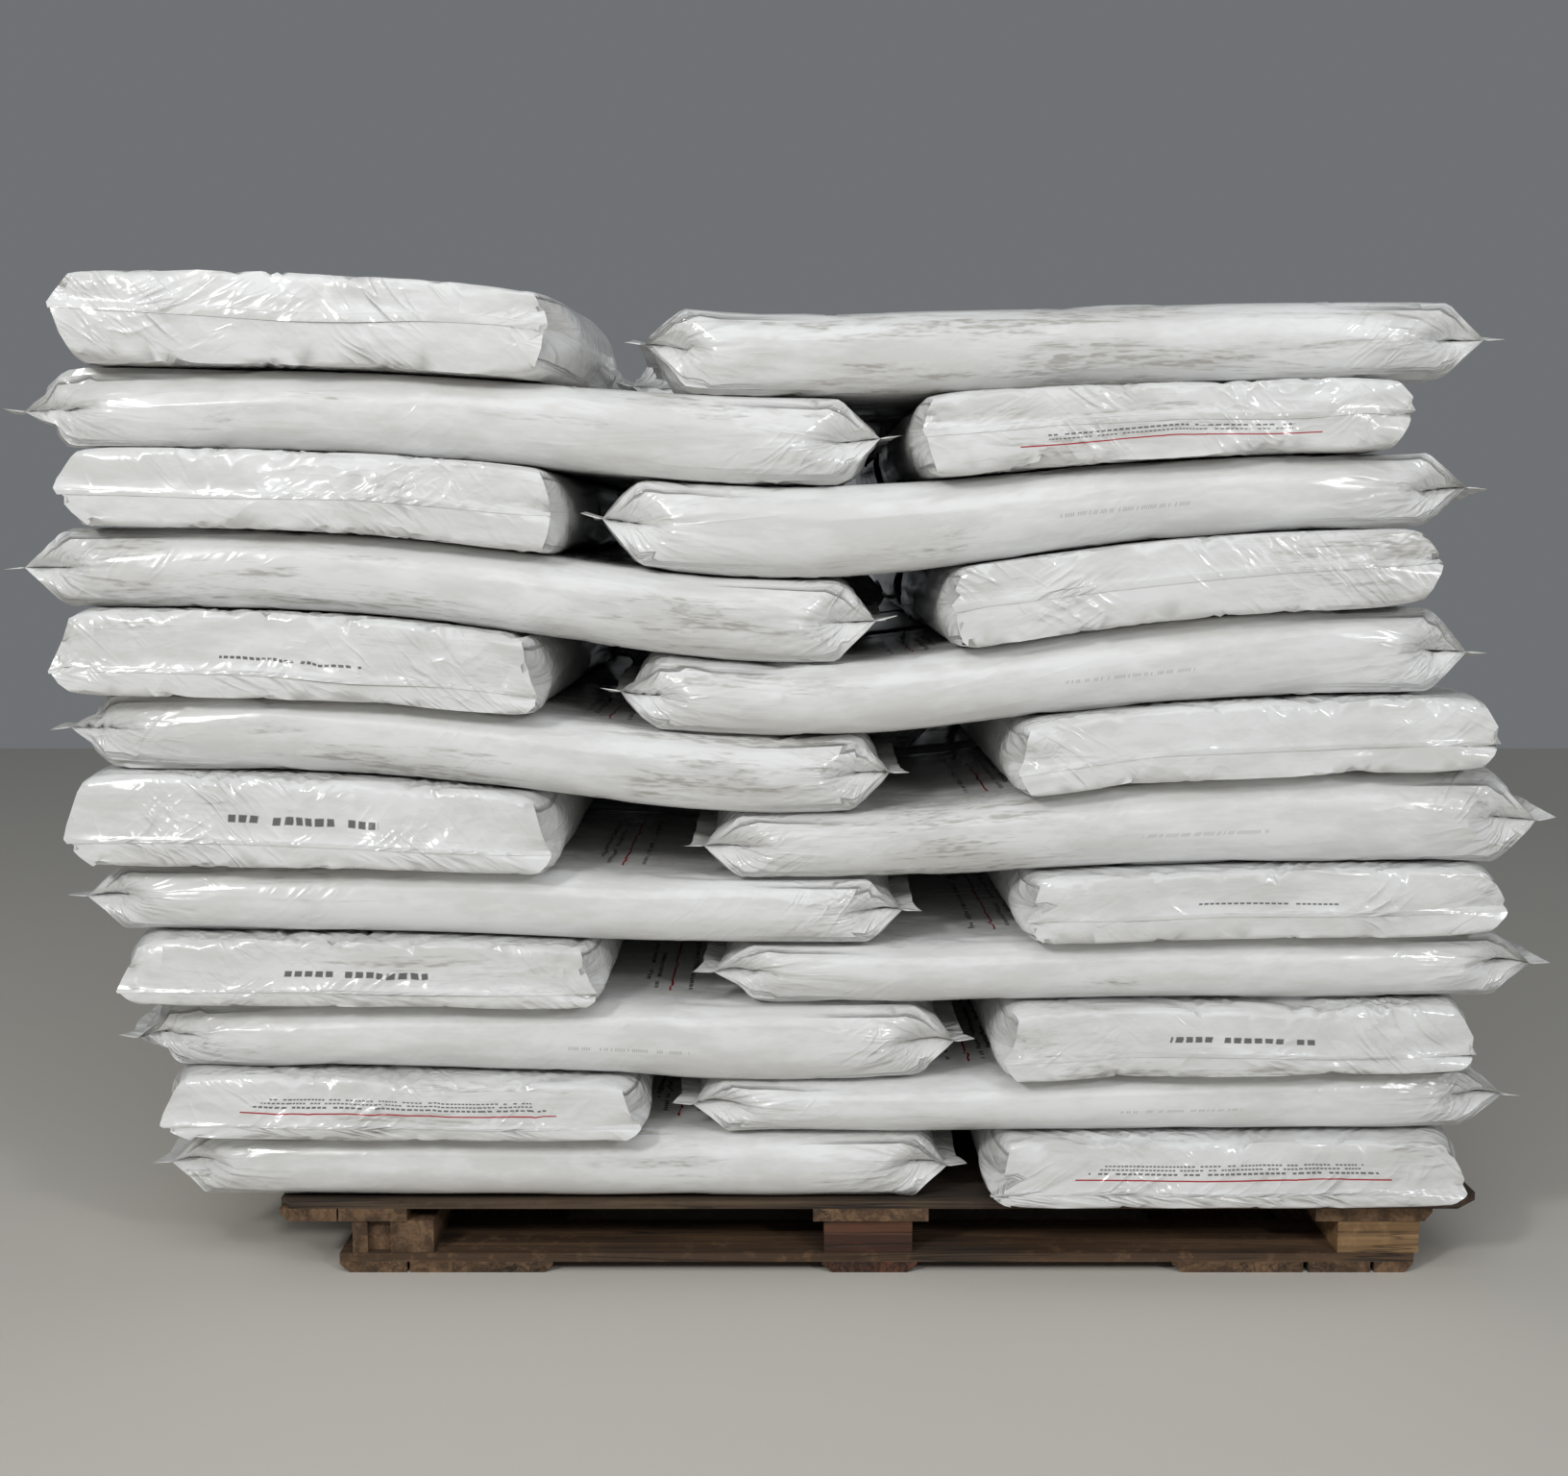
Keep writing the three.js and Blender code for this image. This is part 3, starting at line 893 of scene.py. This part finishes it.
# %% Faint dashes along a side
ink_step = maths(MARKS, "DIVIDE", along, FAINT_PITCH)
ink = one_noise(MARKS, maths(MARKS, "ADD", maths(MARKS, "FLOOR", ink_step), seed))
ink_row = both(
    MARKS,
    side,
    is_kind(5),
    band(MARKS, along, 0.08, 0.06),
    band(MARKS, across, -0.006, 0.0016, 0.0006),
    band(MARKS, maths(MARKS, "FRACT", ink_step), 0.5, 0.30, 0.1),
    maths(MARKS, "LESS_THAN", ink, 0.6),
)
MARKS.links.new(either(MARKS, red_upper, red_lower, red_broad), outside.inputs["Red"])
MARKS.links.new(dark, outside.inputs["Dark"])
MARKS.links.new(ink_row, outside.inputs["Faint"])
print("mark group nodes", len(MARKS.nodes))

# %% [markdown]
# The film itself is a Principled surface: a bright slightly cool white, a low roughness
# that dirt raises, and a bump for the small relief that the mesh can't hold. The real film
# lets a little light through, but a white fill behind it gives that light back, so an
# opaque white looks the same and renders much faster. Two sheets look greyer where they
# lie together with nothing behind them, in the lip.

# %% Film material
FILM_WHITE = (0.88, 0.885, 0.88, 1)
FILM_SHADE = (0.76, 0.757, 0.74, 1)
LIP_GREY = (0.50, 0.50, 0.46, 1)
DIRT_BROWN = (0.34, 0.32, 0.28, 1)
RULE_RED = (0.45, 0.015, 0.025, 1)
INK_DARK = (0.05, 0.05, 0.05, 1)
INK_FAINT = (0.30, 0.30, 0.29, 1)


def film_material():
    material = bpy.data.materials.new("white_film")
    material.use_nodes = True
    tree = material.node_tree
    surface = tree.nodes["Principled BSDF"]
    film = add_node(tree, "ShaderNodeAttribute", attribute_name="film").outputs["Vector"]
    place = add_node(tree, "ShaderNodeAttribute", attribute_name="around").outputs["Vector"]
    about = add_node(tree, "ShaderNodeAttribute", attribute_name="about").outputs["Vector"]
    along = three_parts(tree, film)["X"]
    beyond_weld = maths(tree, "SUBTRACT", maths(tree, "ABSOLUTE", along), CUT_LENGTH / 2)
    seed, dirtiness, kind = three_parts(tree, about)
    creases = placed(tree, CREASES, [("Place", place), ("Film", film), ("Seed", seed)])
    dirt = placed(tree, DIRT, [("Place", place), ("Amount", dirtiness)]).outputs["Mask"]
    marks = placed(tree, MARKS, [("Film", film), ("Kind", kind), ("Seed", seed)])
    tone = noise(tree, stretched(tree, place, (8, 28, 28)), 1.0, 4.0, 0.7)
    on_lip = remap(tree, beyond_weld, 0.001, 0.003, 0.0, 0.16)
    soiled = maths(tree, "MULTIPLY", dirt, 0.72)
    faint = maths(tree, "MULTIPLY", marks.outputs["Faint"], 0.45)
    dark = maths(tree, "MULTIPLY", marks.outputs["Dark"], 0.85)
    colour = mix_colours(tree, remap(tree, tone, 0.38, 0.64), FILM_WHITE, FILM_SHADE)
    colour = mix_colours(tree, on_lip, colour, LIP_GREY)
    colour = mix_colours(tree, soiled, colour, DIRT_BROWN)
    colour = mix_colours(tree, faint, colour, INK_FAINT)
    colour = mix_colours(tree, marks.outputs["Red"], colour, RULE_RED)
    colour = mix_colours(tree, dark, colour, INK_DARK)
    tree.links.new(colour, surface.inputs["Base Color"])
    rough = maths(tree, "MULTIPLY_ADD", dirt, 0.3, remap(tree, tone, 0.3, 0.7, 0.14, 0.23))
    tree.links.new(rough, surface.inputs["Roughness"])
    values = [("Height", creases.outputs["Height"]), ("Distance", 0.001), ("Strength", 1.0)]
    bump = add_node(tree, "ShaderNodeBump", values)
    tree.links.new(bump.outputs["Normal"], surface.inputs["Normal"])
    surface.inputs["IOR"].default_value = 1.5
    surface.inputs["Coat Weight"].default_value = 0.22
    surface.inputs["Coat Roughness"].default_value = 0.07
    return material


FILM = film_material()
print("film material nodes", len(FILM.node_tree.nodes))

# %% [markdown]
# ## Lay the sacks
# Each sack takes one of the filled shapes, turned end for end or upside down so that no
# two neighbours look alike, and is bent between the two surfaces of its layer. Simulating
# all sixty in a heap would take hours and would not come out as the photo does. The two
# blunt sacks of the top layer have no neighbour on their inner side, so they bulge there.

# %% Lay one sack
TURNS = [(x, y, z) for z in (1, -1) for y in (1, -1) for x in (1, -1)]
BULGE = 0.0022
ENDS_FROM = 0.36
ENDS_REACH = 0.12
INNER_CORNER = 0.016
BELLY_LENGTH = 0.460
TOP_BELLY = 0.032
LIP_EDGE_ANGLE = math.radians(75)


def end_on_places(along, across, up, near_end, centre, length, belly):
    """Across and along the load for a blunt sack, with round inner corners and its belly."""
    side = math.copysign(1, centre[0])
    inner = np.clip(across * side / (SACK_WIDTH / 2), 0, 1)
    corner = INNER_CORNER * near_end * np.clip(np.abs(up), 0, 1) ** 1.5
    behind_face = length / 2 - along * math.copysign(1, centre[1])
    bulged = belly * np.sin(math.pi * np.clip(behind_face / BELLY_LENGTH, 0, 1))
    return centre[0] - across - side * inner * (corner + bulged), centre[1] + along


def bent_between(x, y, up, layer, seed):
    """Bend a sack between the two surfaces of its layer, and bulge its film a little."""
    lower, upper = bearing_height(layer, x), bearing_height(layer + 1, x)
    half = (upper - lower) / 2 - FILM_GAP
    world = np.stack([x, y, (lower + upper) / 2 + np.clip(up, -1, 1) * half], axis=1)
    free = np.clip(1 - np.abs(up) ** 4, 0, 1)
    for axis in range(3):
        world[:, axis] += soft_noise(world, [16, 16, 30], seed * 3 + axis) * BULGE * free
    return world, up * half


def lay_sack(name, key, layer, centre, length, seed, weld_height=0.0, dirt=0.3, marks=0, belly=0.0):
    """Make one sack. A blunt one points to the front and back, a pointed one to the sides."""
    blunt = key[0]
    shape, faces, film = SHAPES[key]
    flips = TURNS[seed % (4 if blunt else 8)]
    local_along, local_across, up = (shape * flips).T
    along = local_along * length / (END_LENGTH if blunt else NOMINAL_LENGTH)
    near_end = np.clip((np.abs(along) - length * ENDS_FROM) / (length * ENDS_REACH), 0, 1)
    up = up + weld_height * np.clip(1 - np.abs(up), 0, 1) * smoothed(near_end)
    if blunt:
        x, y = end_on_places(along, local_across, up, near_end, centre, length, belly)
        aside, ahead = local_across, local_along
    else:
        x, y = centre[0] + along, centre[1] + local_across
        aside, ahead = local_along, local_across
    world, above = bent_between(x, y, up, layer, seed)
    mirrored = flips[0] * flips[1] * flips[2] < 0
    mesh = bpy.data.meshes.new(name)
    mesh.from_pydata(world.tolist(), [], [face[::-1] for face in faces] if mirrored else faces)
    mesh.shade_smooth()
    mesh.set_sharp_from_angle(angle=LIP_EDGE_ANGLE)
    seen = film * flips
    seen[:, 1] = np.where(np.abs(film[:, 2]) < 0.5, film[:, 1] * flips[2], seen[:, 1])
    around = np.stack([aside, ahead, above], axis=1) + [seed * 1.7, seed * 0.9, 0]
    about = np.tile([seed * 7.31 % 10, dirt, marks], (len(world), 1))
    for label, values in (("film", seen), ("around", around), ("about", about)):
        attribute = mesh.attributes.new(label, "FLOAT_VECTOR", "POINT")
        attribute.data.foreach_set("vector", values.astype(np.float32).ravel())
    mesh.materials.append(FILM)
    sack = bpy.data.objects.new(name, mesh)
    SCENE.collection.objects.link(sack)
    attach(sack, "root")
    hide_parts(f"sack_layer_{layer + 1:02d}")
    return sum(len(face) - 2 for face in faces)


print("ways to turn a sack", len(TURNS))

# %% [markdown]
# The front ones are laid as they are seen: how high the weld sits on each blunt end, how
# dirty each side is, and which marks it has. Chance could choose all that, but then the
# front would look like some other load. The lists run from the lowest layer to the top.

# %% Lay all the layers
LONG_PITCH = SACK_WIDTH + SACK_GAP
END_CENTRE = (END_LENGTH + SACK_GAP) / 2
FRONT_WELDS = [-0.55, -0.50, -0.35, -0.45, -0.25, -0.38, -0.20, -0.38, 0.15, 0.0, 0.12, 0.28]
FRONT_DIRT = [0.30, 0.25, 0.30, 0.30, 0.55, 0.35, 0.85, 0.30, 0.55, 0.45, 0.35, 1.0]
FRONT_MARKS = [1, 1, 3, 3, 4, 3, 0, 4, 0, 0, 2, 0]
FRONT_INK = [0, 5, 5, 0, 0, 5, 0, 5, 0, 5, 0, 0]
ROW_NAMES = {-1: "front", 0: "middle", 1: "back"}
triangle_total = 0
for layer in range(LAYERS):
    long_x = LONG_CENTRES[layer] * MM
    end_x = END_CENTRES[layer] * MM
    length = LONG_LENGTHS[layer] * MM
    towards_end = math.copysign(1, end_x - long_x)
    column_gap = abs(end_x - long_x) - SACK_WIDTH / 2 - length / 2
    for row in (-1, 0, 1):
        x = long_x if row else long_x + towards_end * (column_gap - SACK_GAP)
        detail = "near" if row == -1 or layer == LAYERS - 1 else "far"
        seed = layer * 7 + row + 1
        name = f"sack_{layer + 1:02d}_long_{ROW_NAMES[row]}"
        key = (False, (layer + row) % 2, detail)
        dirt = FRONT_DIRT[layer] if row == -1 else 0.4
        marks = FRONT_INK[layer] if row == -1 else 5 * (layer % 3 == 0)
        place = (x, row * LONG_PITCH)
        triangle_total += lay_sack(name, key, layer, place, length, seed, 0.0, dirt, marks)
    for row in (-1, 1):
        detail = "near" if row == -1 or layer == LAYERS - 1 else "far"
        seed = layer * 5 + 3 + row
        name = f"sack_{layer + 1:02d}_end_{ROW_NAMES[row]}"
        key = (True, layer // 2 % 2, detail)
        marks = FRONT_MARKS[layer] if row == -1 else 1 + layer % 4
        place = (end_x, row * END_CENTRE)
        weld, belly = FRONT_WELDS[layer], TOP_BELLY if layer == LAYERS - 1 else 0.0
        triangle_total += lay_sack(name, key, layer, place, END_LENGTH, seed, weld, 0.25, marks, belly)
print("sacks", 5 * LAYERS, "triangles", triangle_total)

# %% [markdown]
# ## Wood
# Each board is shown as its solid, since a sawn board has no form beyond that. Its grain
# is noise that is stretched far along the board, with darker streaks, stains, fine cracks
# and pale scuffs. A wood image would need unwrapping and would repeat on every block.

# %% Group of wood grain
STAIN_BROWN = (0.035, 0.025, 0.018, 1)
CRACK_BLACK = (0.012, 0.008, 0.006, 1)
GRAIN, inside, outside = new_group(
    "sawn_grain",
    [
        ("Place", "NodeSocketVector", None),
        ("Light", "NodeSocketColor", (0.4, 0.27, 0.16, 1)),
        ("Dark", "NodeSocketColor", (0.16, 0.09, 0.05, 1)),
    ],
    [("Colour", "NodeSocketColor"), ("Height", "NodeSocketFloat"), ("Rough", "NodeSocketFloat")],
)
place = inside.outputs["Place"]
light, dark = inside.outputs["Light"], inside.outputs["Dark"]
rings = noise(GRAIN, stretched(GRAIN, place, (1.2, 34, 34)), 1.0, 5.0, 0.6, 0.7)
fibres = noise(GRAIN, stretched(GRAIN, place, (9, 260, 260)), 1.0, 3.0, 0.6)
stain = noise(GRAIN, place, 5.0, 4.0)
crack_noise = noise(GRAIN, stretched(GRAIN, place, (2.5, 70, 70)), 1.0, 3.0, 0.6, 0.8)
cracks = both(GRAIN, ridged(GRAIN, crack_noise, 22.0), remap(GRAIN, stain, 0.42, 0.60))
rubbed = remap(GRAIN, noise(GRAIN, place, 60.0, 4.0, 0.7), 0.52, 0.66)
scuffs = both(GRAIN, rubbed, remap(GRAIN, stain, 0.62, 0.45), 0.5)
colour = mix_colours(GRAIN, remap(GRAIN, rings, 0.38, 0.62), light, dark)
colour = mix_colours(GRAIN, remap(GRAIN, fibres, 0.4, 0.7, 0.0, 0.6), colour, dark)
colour = mix_colours(GRAIN, remap(GRAIN, stain, 0.5, 0.72, 0.0, 0.6), colour, STAIN_BROWN)
colour = mix_colours(GRAIN, scuffs, colour, light)
colour = mix_colours(GRAIN, cracks, colour, CRACK_BLACK)
height = added(GRAIN, both(GRAIN, rings, 0.5), both(GRAIN, fibres, 0.5), both(GRAIN, cracks, -0.6))
GRAIN.links.new(colour, outside.inputs["Colour"])
GRAIN.links.new(height, outside.inputs["Height"])
GRAIN.links.new(remap(GRAIN, fibres, 0.3, 0.7, 0.62, 0.88), outside.inputs["Rough"])
print("grain group nodes", len(GRAIN.nodes))

# %% [markdown]
# Boards that run from front to back need their grain turned a quarter. So do the blocks on
# the left, which show their end grain to the front. The pieces differ in colour, as on a
# pallet that was nailed together from what was at hand.

# %% Wood materials
LENGTHWISE = (0.0, 0.0, math.pi / 2)


def wood_material(name, light, dark, turned):
    material = bpy.data.materials.new(name)
    material.use_nodes = True
    tree = material.node_tree
    surface = tree.nodes["Principled BSDF"]
    place = add_node(tree, "ShaderNodeTexCoord").outputs["Object"]
    if turned:
        values = [("Vector", place), ("Rotation", LENGTHWISE)]
        place = add_node(tree, "ShaderNodeMapping", values).outputs["Vector"]
    grain = placed(tree, GRAIN, [("Place", place), ("Light", light), ("Dark", dark)])
    tree.links.new(grain.outputs["Colour"], surface.inputs["Base Color"])
    tree.links.new(grain.outputs["Rough"], surface.inputs["Roughness"])
    values = [("Height", grain.outputs["Height"]), ("Distance", 0.002), ("Strength", 0.8)]
    bump = add_node(tree, "ShaderNodeBump", values)
    tree.links.new(bump.outputs["Normal"], surface.inputs["Normal"])
    return material


# These are the wood's own colours darkened by painted shade: the pallet lies in the shadow of the load
# above it.
BROWN = ((0.215, 0.124, 0.064, 1), (0.070, 0.038, 0.019, 1))
DECK = ((0.120, 0.078, 0.045, 1), (0.040, 0.025, 0.015, 1))
REDDISH = ((0.140, 0.052, 0.023, 1), (0.050, 0.018, 0.009, 1))
PALE = ((0.480, 0.305, 0.148, 1), (0.230, 0.132, 0.058, 1))
WOODS = {
    "deck": wood_material("deck_board", *DECK, False),
    "stringer": wood_material("brown_board_lengthwise", *BROWN, True),
    "runner": wood_material("brown_runner_lengthwise", *BROWN, True),
    "cross": wood_material("brown_board_across", *BROWN, False),
    "block_left": wood_material("brown_block", *BROWN, True),
    "block_middle": wood_material("reddish_block", *REDDISH, False),
    "block_right": wood_material("pale_block", *PALE, False),
    "runner_middle": wood_material("reddish_runner", *REDDISH, True),
}
finished = 0
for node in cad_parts:
    kinds = [kind for kind in WOODS if node.startswith(kind)]
    if kinds:
        board = bpy.data.objects[node]
        board.data.materials.clear()
        board.data.materials.append(WOODS[max(kinds, key=len)])
        finished += 1
print("wooden pieces finished", finished)

# %% [markdown]
# ## Floor
# The floor is plain and pale, so that nothing but the load draws the eye.

# %% Floor
FLOOR_SIZE = 8.0
FLOOR_GREY = (0.66, 0.63, 0.57, 1)
floor_mesh = bpy.data.meshes.new("floor")
half = FLOOR_SIZE / 2
corners = [(-half, -half, 0), (half, -half, 0), (half, half, 0), (-half, half, 0)]
floor_mesh.from_pydata(corners, [], [(0, 1, 2, 3)])
floor = bpy.data.objects.new("floor", floor_mesh)
SCENE.collection.objects.link(floor)
floor_paint = bpy.data.materials.new("pale_floor")
floor_paint.use_nodes = True
paint_surface = floor_paint.node_tree.nodes["Principled BSDF"]
paint_surface.inputs["Base Color"].default_value = FLOOR_GREY
paint_surface.inputs["Roughness"].default_value = 0.7
floor_mesh.materials.append(floor_paint)
print("floor", FLOOR_SIZE, "m wide")

# %% [markdown]
# ## Light
# A wide soft light above the camera stands for dull daylight. On its own it would leave
# the film matt, so two small bright ones at the left and the right give the creases their
# glints. They stand far enough aside to leave the straight sides of the sacks without a
# stripe, as in the photo.

# %% Lights
ROOM_TINT = (0.80, 0.84, 0.88, 1)
room = bpy.data.worlds.new("soft_room")
SCENE.world = room
room.use_nodes = True
room_light = room.node_tree.nodes["Background"]
room_light.inputs["Color"].default_value = ROOM_TINT
room_light.inputs["Strength"].default_value = 0.20
LOAD_MIDDLE = Vector((-0.1, 0.0, 0.5))


def soft_light(name, place, width, height, power, colour):
    lamp = bpy.data.lights.new(name, "AREA")
    lamp.shape = "RECTANGLE"
    lamp.size = width
    lamp.size_y = height
    lamp.energy = power
    lamp.color = colour
    light = bpy.data.objects.new(name, lamp)
    light.location = place
    light.rotation_euler = (LOAD_MIDDLE - Vector(place)).to_track_quat("-Z", "Y").to_euler()
    SCENE.collection.objects.link(light)


soft_light("wide_light", (-0.2, -2.9, 3.0), 3.6, 2.2, 40, (0.96, 0.98, 1.0))
soft_light("left_glint", (-2.1, -3.7, 2.4), 0.45, 0.5, 44, (1.0, 0.99, 0.97))
soft_light("right_glint", (2.0, -3.8, 2.0), 0.35, 0.4, 24, (0.98, 0.99, 1.0))

# %% [markdown]
# ## Camera
# The camera stands a little above the middle of the load, close to it and left of the
# pallet's centre, and looks slightly down. Its place was worked out from the photo: how
# the widths and slopes of the layers change with height gives its height and distance.

# %% Camera
CAMERA_PLACE = (-0.097, -2.600, 0.7357)
CAMERA_TILT = 7.5
FOCAL_LENGTH = 44.76
SENSOR_WIDTH = 36.0
CAMERA_SHIFT = 0.0313
lens = bpy.data.cameras.new("camera")
lens.lens = FOCAL_LENGTH
lens.sensor_width = SENSOR_WIDTH
lens.shift_y = CAMERA_SHIFT
camera = bpy.data.objects.new("camera", lens)
camera.location = CAMERA_PLACE
camera.rotation_euler = (math.radians(90 - CAMERA_TILT), 0, 0)
SCENE.collection.objects.link(camera)
SCENE.camera = camera
SCENE.view_settings.view_transform = "Standard"
print("camera at", CAMERA_PLACE)
